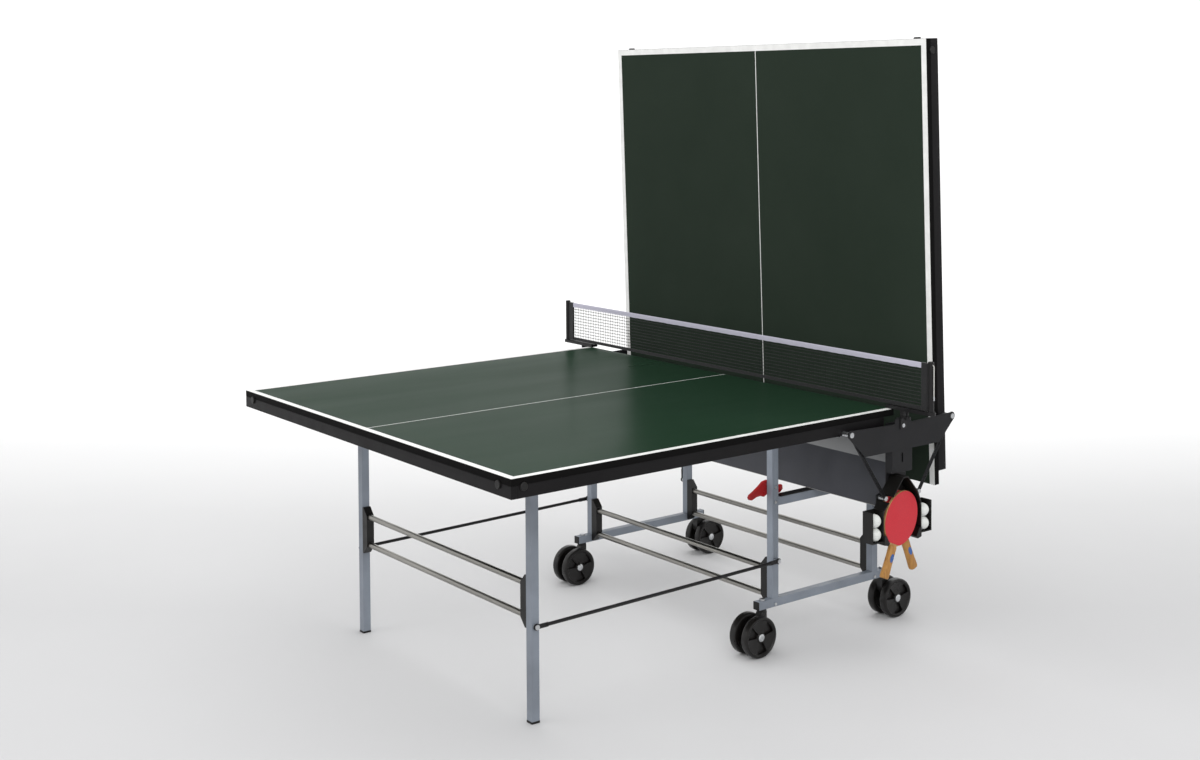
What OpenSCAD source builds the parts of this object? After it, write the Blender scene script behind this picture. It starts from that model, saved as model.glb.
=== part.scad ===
// Folding, rolling indoor table tennis table, standing in its playback position:
// the front half lies flat on its legs, the rear half is folded up behind the net.
// X runs along the table, Y across it and Z up. All sizes are in millimetres.

/* [Table top] */
// Height of the playing surface above the floor
table_h = 760; // [630:5:915]
// Length of one half, from the net line to the end
half_l = 1370; // [1140:5:1650]
// Width of the table
table_w = 1525; // [1270:5:1830]
// Thickness of the board
board_t = 19; // [12:1:25]
// Height of the steel rail under the board
rail_h = 33; // [28:1:45]
// Thickness of the steel rail across its wall
rail_t = 18; // [14:1:30]
// Gap between each half and the net line
edge_gap = 5; // [5:0.5:9]
// Distance of the side rails' inner ends from the net line
rail_start = 47; // [30:1:90]
// Angle that a half folds through, past upright by a little
fold_angle = 91.87; // [85:0.01:95]

/* [Pivots] */
// Distance of each half's pivot line from the net line
pivot_x = 218; // [205:1:240]
// Depth of the pivot line below the playing surface
pivot_drop = 45; // [42:1:48]
// Radius of the pivot bolts
bolt_r = 4; // [3:0.5:4.5]

/* [Tubes] */
// Width of the square tubes
tube_w = 25; // [20:1:30]
// Wall of the square tubes
tube_wall = 1.5; // [1:0.1:2.5]
// Distance of the uprights from the centre line
upright_y = 463; // [380:1:520]
// How far the base tubes run on past the caster stems
base_over = 22; // [18:1:40]
// Height of the base tube's underside
base_z = 135; // [130:1:160]
// Depth of the middle bars' centre below the playing surface
mid_bar_drop = 303; // [290:1:330]
// Radius of the round cross bars
bar_r = 8.5; // [6:0.5:11]
// Heights of the undercarriage's two cross bars
frame_bar_low = 164; // [150:1:190]
frame_bar_high = 247; // [225:1:265]

/* [Legs] */
// Distance of the legs from the half's end
leg_inset = 260; // [180:5:320]
// How much further apart the legs are than the uprights, on each side
leg_step = 7; // [4:1:12]
// Heights of the leg frame's two cross bars
leg_bar_low = 286; // [250:1:320]
leg_bar_high = 375; // [350:1:430]
// Height of the foot caps
foot_h = 18; // [15:1:40]

/* [Links] */
// Height of the link's pivot on the upright
link_z = 278; // [255:1:300]
// Radius of the link rods
link_r = 5; // [4:0.5:6]
// Distance of the links' centre line from the legs' faces
link_gap = 6.5; // [6.5:0.5:12]

/* [Casters] */
// Distance of the caster stems from the net line
stem_x = 263; // [245:1:280]
// Distance that the wheels trail behind their stem
trail = 37; // [25:1:45]
// Radius of the wheels
wheel_r = 62.5; // [50:0.5:65]
// Width of one wheel
wheel_w = 27; // [20:1:32]
// Width of the fork's leg between the two wheels
fork_w = 24; // [16:1:30]

/* [Side plates] */
// Gap between the side plates' inner faces and the table's edge
plate_gap = 30.5; // [28:0.5:36]
// Thickness of the plates, struts and back plates
sheet_t = 3; // [2:0.5:4]
// Half width of the posts that hang from the side plates
post_half = 43; // [35:1:48]
// Depth of the plates' lower edge below the playing surface
plate_drop = 117; // [100:1:135]

/* [Net] */
// Height of the net above the playing surface
net_h = 152.5; // [140:0.5:160]
// Distance of the net posts from the table's edge
net_overhang = 141.5; // [110:0.5:160]
// Radius of the net posts
net_post_r = 9; // [7:0.5:12]
// Height of the white tape along the net's top
tape_h = 16; // [12:1:25]

/* [Bats and balls] */
// How far the holder's middle sits towards the front half from the net line
holder_shift = 14; // [0:1:16]
// Diameter of the balls
ball_d = 40; // [38:0.5:42]
// Width of the bats' blades
blade_w = 136; // [130:1:144]
// Length of the bats' blades
blade_l = 168; // [150:1:172]
// Tilt of the crossed bats
bat_tilt = 23; // [12:1:25]

/* [Hidden] */
$fn = 64;

steel_blue = "slategray";
steel_dark = "#2c2b2c";
plastic_black = "#1c1a19";
bar_grey = "#787369";
zinc = "silver";
board_green = "#3c4f41";

fit_gap = 0.05;                              // radial clearance of a running fit
open_gap = 0.6;                              // radial clearance where a linkage is open
side_gap = 0.5;                              // clearance between faces that slide past
ear_t = 3;                                   // thickness of the hinge ears
head_h = 3;                                  // height of the bolt heads
head_r = 7;                                  // radius of the bolt heads
plug_r = 11;                                 // radius of the round corner plugs
plug_h = 5;                                  // how far the plugs stand out
strip_h = 5;                                 // thickness of the pads on the middle bars
cap_wall = 2.5;                              // thickness of the plastic end caps

pivot_z = table_h - pivot_drop;              // height of the fold's pivot line
fold_lean = tan(max(fold_angle - 90, 0));    // lean of a folded half towards its legs
leg_room = board_t + tube_w / 2 + 2 + pivot_z * fold_lean;
leg_drop = max(46, ceil(leg_room));          // depth of the legs' pivots below the playing surface
mid_bar_z = table_h - mid_bar_drop;          // height of the middle bars' centre
base_half = stem_x + base_over;              // half length of the base tubes
leg_x = half_l - leg_inset;                  // distance of the legs from the net line
leg_y = upright_y + leg_step;                // distance of the legs from the centre line
link_y = leg_y + tube_w / 2 + link_gap;      // distance of the links from the centre line
plate_y = table_w / 2 + plate_gap;           // inner faces of the side plates
net_post_y = table_w / 2 + net_overhang;     // distance of the net posts
base_top = base_z + tube_w;                  // top of the base tubes
upright_top = pivot_z + tube_w / 2;          // top of the uprights
ear_in = tube_w / 2 + side_gap;              // inner face of a hinge ear, from its tube
leg_top = tube_w / 2;                        // how far a leg runs above its pivot
caster_reach = stem_x + trail + wheel_r;     // furthest point of the wheels
end_reach = half_l + plug_h;                 // furthest point of the front half
net_x = (end_reach - caster_reach) / 2;      // the net line, with the origin mid way
link_end = leg_x - pivot_x;                  // link length along the table
link_fall = leg_drop - pivot_drop;           // drop of the leg pivot below the fold pivot
post_back = table_w / 2 + 2;                 // inner face of the back plates
strut_y = plate_y - sheet_t;                 // inner face of the struts
foot_x = 72;                                 // the struts' lower bolts, along the table
foot_z = pivot_z - 209;                      // and their height
beam_low = mid_bar_z + tube_w / 2 + strip_h; // underside of the cross beam
beam_mid = table_h - 159;                    // where its two slopes meet
beam_top = table_h - 105;                    // its ridge
balls_y = post_back + ball_d / 2 + 6.5;      // the balls' distance from the centre line
balls_z = table_h - 353;                     // height of the lower balls
blade_y1 = post_back + 18;                   // mid plane of the rear bat
blade_y2 = blade_y1 + 19;                    // mid plane of the front bat
blade_z = table_h - 320;                     // height of the blades' centres
blade_t = 6;                                 // thickness of the wooden blade
rubber_t = 2;                                // thickness of each rubber
grip_l = 100;                                // length of the bat's handle
grip_w = 28;                                 // width of the handle
grip_t = 22;                                 // thickness of the handle
blade_off = 4;                               // the blades' distance from the holder's middle
latch_z = table_h - 258;                     // height of the latch's pivot
latch_y = upright_y - tube_w / 2 - 1;        // outer face of the latch
latch_t = 10;                                // thickness of the latch

// ---------- Helpers ----------

// Moves the model from the net line to the origin under the middle of its outline.
module place() translate([net_x, 0, 0]) children();

// Draws the children on both sides of the centre line.
module both_sides() {
    children();
    mirror([0, 1, 0]) children();
}

// Draws the children at both ends of the undercarriage.
module both_ends() {
    children();
    mirror([1, 0, 0]) children();
}

// A cylinder along Y, from the height y0 to y1.
module rod_y(r, y0, y1, x = 0, z = 0)
    translate([x, y1, z]) rotate([90, 0, 0]) cylinder(r = r, h = y1 - y0);

// A cylinder along X, from x0 to x1.
module rod_x(r, x0, x1, y = 0, z = 0)
    translate([x0, y, z]) rotate([0, 90, 0]) cylinder(r = r, h = x1 - x0);

// A flat shape in the X-Z plane, standing from y0 to y1.
module plate_xz(y0, y1)
    translate([0, y1, 0]) rotate([90, 0, 0]) linear_extrude(y1 - y0) children();

// A square tube along Z, centred on the Z axis.
module tube_z(length, w = tube_w) {
    difference() {
        translate([-w / 2, -w / 2, 0]) cube([w, w, length]);
        translate([-w / 2 + tube_wall, -w / 2 + tube_wall, -1])
            cube([w - 2 * tube_wall, w - 2 * tube_wall, length + 2]);
    }
}

// A square tube along X, centred on the X axis.
module tube_x(x0, x1) translate([x0, 0, 0]) rotate([0, 90, 0]) tube_z(x1 - x0);

// The halves are drawn along +X with their surface at the height of the table.
module front_place() place() mirror([1, 0, 0]) children();
module rear_place()
    place() translate([pivot_x, 0, pivot_z]) rotate([0, -fold_angle, 0])
        translate([-pivot_x, 0, -pivot_z]) children();

// Moves a folded leg frame: its pivot swings with the half and its legs stay upright.
function turned_x(x, z) = x * cos(fold_angle) - z * sin(fold_angle);
function turned_z(x, z) = x * sin(fold_angle) + z * cos(fold_angle);
leg_shift = [turned_x(link_end, -link_fall) - link_end, 0,
             turned_z(link_end, -link_fall) + link_fall];
module folded_leg() place() translate(leg_shift) children();

// ---------- The two halves ----------

module board()
    color(board_green)
        translate([edge_gap, -table_w / 2, table_h - board_t])
            cube([half_l - edge_gap, table_w, board_t]);

module end_rail() {
    color(steel_dark)
        translate([half_l - rail_t, -table_w / 2, table_h - board_t - rail_h])
            difference() {
                cube([rail_t, table_w, rail_h]);
                translate([tube_wall, tube_wall, tube_wall])
                    cube([rail_t - 2 * tube_wall, table_w - 2 * tube_wall, rail_h - 2 * tube_wall]);
            }
}

module side_rails() {
    color(steel_dark) both_sides() difference() {
        translate([rail_start, table_w / 2 - rail_t, table_h - board_t - rail_h])
            difference() {
                cube([half_l - rail_t - rail_start, rail_t, rail_h]);
                translate([-1, tube_wall, tube_wall])
                    cube([half_l - rail_t - rail_start + 2, rail_t - 2 * tube_wall, rail_h - 2 * tube_wall]);
            }
        rod_y(bolt_r + fit_gap, table_w / 2 - rail_t - 1, table_w / 2 + 1, pivot_x, pivot_z);
    }
}

// Round plastic plugs over the corner brackets' screws.
plug_z = table_h - 23;
plug_end_y = table_w / 2 - 56;
plug_side_x = half_l - 36;
module corner_plugs() {
    color(plastic_black) both_sides() {
        translate([half_l, plug_end_y, plug_z]) rotate([0, 90, 0]) plug();
        translate([plug_side_x, table_w / 2, plug_z]) rotate([-90, 0, 0]) plug();
    }
}
module plug() {
    cylinder(r = plug_r, h = plug_h - 1.5);
    translate([0, 0, plug_h - 1.5]) cylinder(r1 = plug_r, r2 = plug_r - 1.5, h = 1.5);
}

// One steel ear that hangs from the board and takes a pivot bolt.
module ear(x, drop, bore) {
    under = table_h - board_t;
    difference() {
        union() {
            rod_y(15, 0, ear_t, x, table_h - drop);
            translate([x - 15, 0, table_h - drop]) cube([30, ear_t, drop - board_t]);
            translate([x - 22, 0, under - ear_t]) cube([44, 16, ear_t]);
        }
        rod_y(bore, -1, ear_t + 1, x, table_h - drop);
    }
}

// The pairs of ears at the uprights, at the legs, and the single ears at the side plates.
module brackets() {
    color(zinc) both_sides() {
        for (place = [[pivot_x, upright_y, pivot_drop], [leg_x, leg_y, leg_drop]]) {
            translate([0, place[1] + ear_in, 0]) ear(place[0], place[2], bolt_r + fit_gap);
            translate([0, place[1] - ear_in, 0]) mirror([0, 1, 0])
                ear(place[0], place[2], bolt_r + fit_gap);
        }
        translate([0, table_w / 2 - rail_t, 0]) mirror([0, 1, 0])
            ear(pivot_x, pivot_drop, bolt_r + fit_gap);
    }
}

// ---------- Leg frames, drawn at the front half's place mirrored to +X ----------

leg_pivot_z = table_h - leg_drop;
gusset_w = 28;
link_leg_z = link_z - link_fall;

// A leg tube with its hinge bolt, and the bolt that the link turns on.
module leg_tube() {
    color(steel_blue) difference() {
        translate([leg_x, leg_y, foot_h - 12]) tube_z(leg_pivot_z + leg_top - foot_h + 12);
        rod_y(bolt_r, leg_y - tube_w, leg_y + tube_w, leg_x, leg_pivot_z);
        rod_y(bolt_r, leg_y, leg_y + tube_w, leg_x, link_leg_z);
    }
    color(zinc) {
        hinge_bolt(leg_x, leg_pivot_z, leg_y);
        rod_y(bolt_r, leg_y + tube_w / 2 - tube_wall, link_y + 3, leg_x, link_leg_z);
        rod_y(head_r, link_y + 2 + side_gap, link_y + 2 + side_gap + head_h, leg_x, link_leg_z);
        rod_y(head_r, leg_y + tube_w / 2, link_y - 2 - side_gap, leg_x, link_leg_z);
    }
}

// A bolt through a tube and its two ears.
module hinge_bolt(x, z, y) {
    reach = ear_in + ear_t;
    rod_y(bolt_r, y - reach - head_h, y + reach + head_h, x, z);
    for (side = [-1, 1])
        translate([0, y + side * (reach + side_gap / 2 + head_h / 2), 0])
            rod_y(head_r, -head_h / 2, head_h / 2, x, z);
}

module leg_bars() {
    color(bar_grey) for (z = [leg_bar_low, leg_bar_high])
        rod_y(bar_r, -leg_inner + gusset_w - 12, leg_inner - gusset_w + 12, leg_x, z);
}
leg_inner = leg_y - tube_w / 2;

// A plastic gusset with chamfered ends on the tube's inner face, drilled for two bars.
module gusset(x, inner, z_low, z_high, bar_1, bar_2) {
    color(plastic_black) difference() {
        translate([x - tube_w / 2, 0, 0]) rotate([90, 0, 90]) linear_extrude(tube_w)
            polygon([
                [inner, z_low], [inner, z_high],
                [inner - 7, z_high], [inner - gusset_w, z_high - 24],
                [inner - gusset_w, z_low + 24], [inner - 7, z_low]
            ]);
        for (z = [bar_1, bar_2])
            rod_y(bar_r, inner - gusset_w - 1, inner - gusset_w + 12, x, z);
    }
}

gusset_over = 28;
module leg_gussets()
    both_sides() gusset(leg_x, leg_inner, leg_bar_low - gusset_over, leg_bar_high + gusset_over,
                        leg_bar_low, leg_bar_high);

module foot_caps() {
    color(plastic_black) both_sides() translate([leg_x, leg_y, 0]) {
        translate([-tube_w / 2 - 1, -tube_w / 2 - 1, 0]) cube([tube_w + 2, tube_w + 2, foot_h - 12]);
        translate([-tube_w / 2 + tube_wall, -tube_w / 2 + tube_wall, foot_h - 12])
            cube([tube_w - 2 * tube_wall, tube_w - 2 * tube_wall, 12]);
    }
}

// ---------- Links ----------

// A rod with flattened ends, from the upright's pivot to the leg's pivot.
link_len = norm([link_end, link_fall]);
flat_l = 34;
module link_rod() {
    color(plastic_black) difference() {
        union() {
            rod_x(link_r, flat_l, link_len - flat_l);
            for (x = [0, link_len]) rod_y(9, -2, 2, x);
            translate([0, -2, -6]) cube([flat_l + 4, 4, 12]);
            translate([link_len - flat_l - 4, -2, -6]) cube([flat_l + 4, 4, 12]);
        }
        rod_y(bolt_r + fit_gap, -3, 3);
        rod_y(bolt_r + open_gap, -3, 3, link_len);
    }
}
link_slope = atan2(link_fall, link_end);
module links()
    both_sides() translate([pivot_x, link_y, link_z]) rotate([0, link_slope, 0]) link_rod();

// The rear links stand upright beside their uprights.
module links_up()
    both_sides() translate([pivot_x, link_y, link_z]) rotate([0, link_slope - fold_angle, 0]) link_rod();

// ---------- Undercarriage ----------

module base_tubes() {
    color(steel_blue) both_sides() difference() {
        translate([0, upright_y, base_z + tube_w / 2]) tube_x(-base_half, base_half);
        for (x = [-stem_x, stem_x])
            translate([x, upright_y, base_z - 1]) cylinder(r = stem_r + fit_gap, h = tube_w + 2);
    }
}

module frame_caps() {
    inner = tube_w - 2 * tube_wall;
    color(plastic_black) {
        both_sides() both_ends() translate([base_half, upright_y - tube_w / 2, base_z]) {
            cube([cap_wall, tube_w, tube_w]);
            translate([-7, tube_wall, tube_wall]) cube([7, inner, inner]);
        }
        both_sides() translate([-pivot_x + tube_w, upright_y - tube_w / 2, mid_bar_z + tube_w / 2])
            cube([2 * (pivot_x - tube_w), tube_w, strip_h]);
    }
}

module uprights(x) {
    color(steel_blue) both_sides() difference() {
        translate([x, upright_y, base_top]) tube_z(upright_top - base_top);
        rod_y(bolt_r, upright_y - tube_w, upright_y + tube_w, x, pivot_z);
        rod_y(bolt_r, upright_y, upright_y + tube_w, x, link_z);
        rod_y(bolt_r, upright_y - tube_w, upright_y, x, latch_z);
    }
}

module mid_bars()
    color(steel_blue) both_sides() translate([0, upright_y, mid_bar_z])
        tube_x(-pivot_x + tube_w / 2, pivot_x - tube_w / 2);

upright_inner = upright_y - tube_w / 2;
module frame_bars()
    color(bar_grey) both_ends() for (z = [frame_bar_low, frame_bar_high])
        rod_y(bar_r, -upright_inner + gusset_w - 12, upright_inner - gusset_w + 12, pivot_x, z);

module frame_gussets()
    both_ends() both_sides()
        gusset(pivot_x, upright_inner, frame_bar_low - 24, frame_bar_high + 37,
               frame_bar_low, frame_bar_high);

// A small domed screw head on the outer face of a tube.
module screw_head(x, y, z) rod_y(4.5, y, y + 2.5, x, z);

module frame_bolts() {
    face = upright_y + tube_w / 2;
    color(zinc) both_ends() both_sides() {
        hinge_bolt(pivot_x, pivot_z, upright_y);
        rod_y(bolt_r, face - tube_wall, link_y + 3, pivot_x, link_z);
        rod_y(head_r, link_y + 2 + side_gap, link_y + 2 + side_gap + head_h, pivot_x, link_z);
        rod_y(head_r, face, link_y - 2 - side_gap, pivot_x, link_z);
        screw_head(pivot_x, face, latch_z);
        screw_head(pivot_x, face, mid_bar_z);
        screw_head(pivot_x, face, base_z + 8);
    }
    color(zinc) both_ends()
        translate([0, -upright_y, 0]) {
            rod_y(bolt_r, tube_w / 2 - tube_wall, tube_w / 2 + latch_t + 2, pivot_x, latch_z);
            rod_y(head_r, tube_w / 2 + latch_t + 2, tube_w / 2 + latch_t + 4, pivot_x, latch_z);
        }
}

// ---------- Side plates, posts and struts ----------

plate_low = table_h - plate_drop;
ear_r = 13;
module side_plate() {
    color(steel_dark) difference() {
        plate_xz(plate_y, plate_y + sheet_t) union() {
            polygon([
                [-pivot_x - 7, pivot_z - 11], [-162, plate_low], [162, plate_low],
                [pivot_x + 7, pivot_z - 11], [pivot_x + 6, pivot_z + 12],
                [36, pivot_z + 7], [34, pivot_z + 20], [24, pivot_z + 26],
                [-24, pivot_z + 26], [-34, pivot_z + 20], [-36, pivot_z + 7],
                [-pivot_x - 6, pivot_z + 12]
            ]);
            for (x = [-pivot_x, pivot_x]) translate([x, pivot_z]) circle(r = ear_r);
        }
        for (x = [-pivot_x, 0, pivot_x])
            rod_y(bolt_r, plate_y - 1, plate_y + sheet_t + 1, x, pivot_z);
    }
}

// The post is boxed out to the plate at its top and goes on below as a flat back plate.
post_low = blade_z - 2;
post_box_low = table_h - 185;
module post() {
    color(steel_dark) difference() {
        union() {
            plate_xz(post_back, post_back + sheet_t) polygon([
                [-post_half, pivot_z + 7], [post_half, pivot_z + 7], [post_half, foot_z + 22],
                [foot_x + 12, foot_z + 8], [foot_x + 12, foot_z - 12], [post_half, post_low],
                [-post_half, post_low], [-foot_x - 12, foot_z - 12], [-foot_x - 12, foot_z + 8],
                [-post_half, foot_z + 22]
            ]);
            for (x = [-post_half, post_half - sheet_t])
                translate([x, post_back, post_box_low])
                    cube([sheet_t, plate_y - post_back, pivot_z + 7 - post_box_low]);
            translate([-post_half, plate_y - sheet_t, post_box_low])
                cube([2 * post_half, sheet_t, pivot_z + 7 - post_box_low]);
        }
        translate([-3, plate_y - 10, table_h - 155]) cube([6, 20, 27]);
        rod_y(bolt_r, post_back - 1, plate_y + 1, 0, pivot_z);
    }
}

strut_len = norm([pivot_x - foot_x, pivot_z - foot_z]);
strut_tilt = atan2(pivot_z - foot_z, pivot_x - foot_x);
module plate_struts() {
    color(steel_dark) both_sides() both_ends()
        translate([foot_x, strut_y, foot_z]) rotate([0, -strut_tilt, 0]) difference() {
            union() {
                translate([0, 0, -6.5]) cube([strut_len, sheet_t, 13]);
                for (x = [0, strut_len]) rod_y(6.5, 0, sheet_t, x);
            }
            for (x = [0, strut_len]) rod_y(bolt_r, -1, sheet_t + 1, x);
        }
}

// The bolts that the halves turn on, the struts' lower bolts with their spacers, and the middle bolts.
module plate_bolts() {
    outer = plate_y + sheet_t;
    rail_in = table_w / 2 - rail_t - ear_t;
    color(zinc) both_sides() {
        both_ends() {
            rod_y(bolt_r, rail_in - 3, outer + head_h, pivot_x, pivot_z);
            rod_y(8, outer, outer + head_h, pivot_x, pivot_z);
            rod_y(head_r, rail_in - 1 - head_h, rail_in - 1, pivot_x, pivot_z);
            rod_y(head_r, table_w / 2 + side_gap, strut_y, pivot_x, pivot_z);
            rod_y(bolt_r, post_back + sheet_t, strut_y + sheet_t + head_h, foot_x, foot_z);
            rod_y(head_r, post_back + sheet_t, strut_y, foot_x, foot_z);
            rod_y(head_r, strut_y + sheet_t, strut_y + sheet_t + head_h, foot_x, foot_z);
        }
        rod_y(bolt_r, post_back + sheet_t, outer + head_h, 0, pivot_z);
        rod_y(6, outer, outer + head_h, 0, pivot_z);
    }
}

// Folded sheet beam between the two back plates, resting on the pads of the middle bars.
beam_t = 2;
function beam_line(t) = [
    [-66 + t, beam_low], [-25 + t, beam_mid], [-1.5 + t / 3, beam_top - t],
    [1.5 - t / 3, beam_top - t], [25 - t, beam_mid], [66 - t, beam_low]
];
module cross_beam() {
    color("#3a3a3c") plate_xz(-post_back, post_back) difference() {
        polygon(beam_line(0));
        translate([0, -0.01]) polygon(beam_line(beam_t));
    }
}

// ---------- Bat and ball holder ----------

wall = 3;
holder_in = post_back + sheet_t;
blade_reach = blade_off + norm([blade_w * cos(bat_tilt), blade_l * sin(bat_tilt)]) / 2;
holder_side_x = blade_reach + wall + 2.3;
balls_x = holder_side_x + wall + 1 + ball_d / 2;
hood_y = plate_y + 27;
ball_front_y = balls_y + ball_d / 2 - 4;
peg_gap = 2;
shelf_z = balls_z - ball_d / 2 - 0.5;
ball_top_z = balls_z + 1.5 * ball_d + 12;
hood_top = table_h - 192;

// The outline of the tray's back, seen along Y.
module tray_outline() polygon([
    [-10, hood_top], [10, hood_top], [holder_side_x - 30, ball_top_z + 42], [holder_side_x, ball_top_z],
    [holder_side_x, shelf_z], [52, shelf_z - 18], [-52, shelf_z - 18], [-holder_side_x, shelf_z],
    [-holder_side_x, ball_top_z], [-holder_side_x + 30, ball_top_z + 42]
]);

// The hood's rim follows the outline's upper part only.
module hood_wall() difference() {
    tray_outline();
    offset(delta = -wall) tray_outline();
    translate([-200, shelf_z - 60]) square([400, 60 + 45]);
}

module holder() {
    color(plastic_black) mirror([0, 1, 0]) {
        difference() {
            translate([-holder_shift, 0, 0]) {
                plate_xz(holder_in, holder_in + wall) tray_outline();
                hood();
            }
            for (side = [-1, 1]) translate([side * foot_x, 0, foot_z]) {
                rod_y(head_r + 1.5, holder_in - 1, hood_y + 1);
                // A slot for the strut, which slants up from its lower bolt.
                rotate([0, side * (90 - strut_tilt), 0])
                    translate([-10, strut_y - 4, -10]) cube([20, 40, 300]);
            }
        }
        translate([-holder_shift, 0, 0]) for (side = [-1, 1]) {
            ball_bin(side);
            peg(side);
        }
    }
}

// The rim round the hood; its front edge slopes back as it goes down.
module hood() difference() {
    plate_xz(holder_in, hood_y) hood_wall();
    translate([-200, hood_y, hood_top - 55]) rotate([-18, 0, 0])
        translate([0, 0, -300]) cube([400, 200, 300]);
}

// A bin for two balls, open at the front: its outer wall, floor, lip and back.
module ball_bin(side) {
    outer = balls_x + ball_d / 2 + 1;
    inner = holder_side_x;
    back = holder_in;
    mirror([side < 0 ? 1 : 0, 0, 0]) {
        translate([outer, back, shelf_z - wall]) cube([wall, ball_front_y - back, ball_top_z - shelf_z]);
        translate([inner, back, shelf_z - wall]) cube([outer - inner + wall, ball_front_y - back, wall]);
        translate([inner, back, shelf_z - wall]) cube([outer - inner + wall, wall, ball_top_z - shelf_z]);
        translate([inner, back, shelf_z - wall]) cube([wall, ball_front_y - back, ball_top_z - shelf_z]);
    }
}

// A peg beside the blades' lower edge, which keeps the bats from slipping down.
module peg(side) {
    mirror([side < 0 ? 1 : 0, 0, 0])
        plate_xz(holder_in, blade_y2 + 9) translate([0, blade_z]) difference() {
            translate([holder_side_x, 0])
                polygon([[-24, -62], [-24, -50], [-7, -38], [0, -38], [0, -66], [-16, -70]]);
            for (way = [-1, 1]) translate([way * blade_off, 0]) rotate(way * bat_tilt)
                offset(delta = peg_gap) blade_outline();
        }
}

// A bat in the X-Z plane, its blade's centre at the origin and its handle pointing down.
module bat() {
    color("#c8373f") {
        for (y = [-blade_t / 2 - rubber_t, blade_t / 2])
            plate_xz(y, y + rubber_t) difference() {
                blade_outline();
                translate([-60, -blade_l / 2 - 30]) square([120, 38]);
            }
    }
    color("#b08044") {
        plate_xz(-blade_t / 2, blade_t / 2) {
            blade_outline();
            translate([-grip_w / 2 + 3, -blade_l / 2 - grip_l + 10]) square([grip_w - 6, grip_l]);
        }
        for (side = [0, 1]) mirror([0, side, 0])
            translate([0, blade_t / 2, 0]) grip_half();
    }
}

module blade_outline() {
    scale_l = blade_l / blade_w;
    polygon([for (a = [0 : 6 : 354]) [
        blade_w / 2 * cos(a) * (sin(a) < 0 ? 1 - 0.22 * pow(sin(a), 4) : 1),
        blade_w / 2 * scale_l * sin(a)
    ]]);
}

module grip_half() {
    depth = (grip_t - blade_t) / 2;
    bottom = -blade_l / 2 - grip_l + 4;
    intersection() {
        translate([0, 0, bottom]) cylinder(r = grip_w / 2, h = grip_l);
        translate([-grip_w / 2, 0, bottom]) cube([grip_w, depth, grip_l]);
    }
}

module bat_front()
    translate([-holder_shift - blade_off, -blade_y2, blade_z]) rotate([0, bat_tilt, 0]) bat();
module bat_rear()
    translate([-holder_shift + blade_off, -blade_y1, blade_z]) rotate([0, -bat_tilt, 0]) bat();

module ball(side, level) {
    color("#d8dad8") translate([side * balls_x - holder_shift, -balls_y, balls_z + level * (ball_d + 0.5)])
        sphere(d = ball_d);
}

// ---------- Net ----------

net_base = table_h + 12;
net_top = table_h + net_h;
arm_h = 10;
arm_z = table_h + 1;
arm_half = 14;
arm_in = table_w / 2 - 24;
knob_gap = 14;

// A post on an arm that reaches over the plate, with a tab bolted to the plate's hump.
module net_bracket() {
    outer = plate_y + sheet_t;
    color(plastic_black) {
        difference() {
            union() {
                translate([0, net_post_y, arm_z]) cylinder(r = net_post_r, h = net_top + 4 - arm_z);
                translate([0, net_post_y, net_top + 4]) cylinder(r1 = net_post_r, r2 = net_post_r - 2, h = 2);
                translate([-arm_half, arm_in, arm_z]) cube([2 * arm_half, net_post_y - arm_in, arm_h]);
                translate([0, net_post_y, arm_z]) cylinder(r = arm_half, h = arm_h);
                translate([-arm_half, outer, pivot_z - 10])
                    cube([2 * arm_half, sheet_t, arm_z - pivot_z + 11]);
            }
            rod_y(6.2, outer - 1, outer + sheet_t + 1, 0, pivot_z);
            rod_y(cord_r + 0.4, net_post_y - net_post_r - 1, net_post_y + net_post_r + 1, 0, cord_z);
            rod_y(cord_r + 2.4, net_post_y + net_post_r - 4, net_post_y + net_post_r + 1, 0, cord_z - 1.5);
        }
        translate([0, outer + sheet_t + knob_gap, arm_z - 18]) cylinder(r = 4, h = 18);
        translate([0, outer + sheet_t + knob_gap, arm_z - 26]) cylinder(r = 9, h = 8);
    }
}

module net_body()
    color("#202020")
        translate([-1, -net_post_y + net_post_r, net_base])
            cube([2, 2 * (net_post_y - net_post_r), net_top - tape_h - net_base]);

module net_tape()
    color("#c8c6cf")
        translate([-2.5, -net_post_y + net_post_r + 1, net_top - tape_h + 0.2])
            cube([5, 2 * (net_post_y - net_post_r - 1), tape_h - 0.2]);

// The tension cord runs from the tape through the near post and down its outer side to a hook.
cord_r = 1.6;
hook_r = 2.2;
cord_bend = 7;
cord_z = net_top - 2.6;
cord_low = table_h + 58;
cord_out = net_post_y + net_post_r + 0.4 + hook_r;
module net_cord() {
    color("white") mirror([0, 1, 0]) {
        rod_y(cord_r, net_post_y - net_post_r - 1, cord_out - cord_bend, 0, cord_z);
        translate([0, cord_out - cord_bend, cord_z - cord_bend]) rotate([90, 0, 90])
            rotate_extrude(angle = 90) translate([cord_bend, 0]) circle(r = cord_r);
        translate([0, cord_out, cord_low]) cylinder(r = cord_r, h = cord_z - cord_bend - cord_low);
        translate([0, cord_out, cord_low - 14]) cylinder(r = hook_r, h = 14);
    }
}

// ---------- Casters ----------

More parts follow.
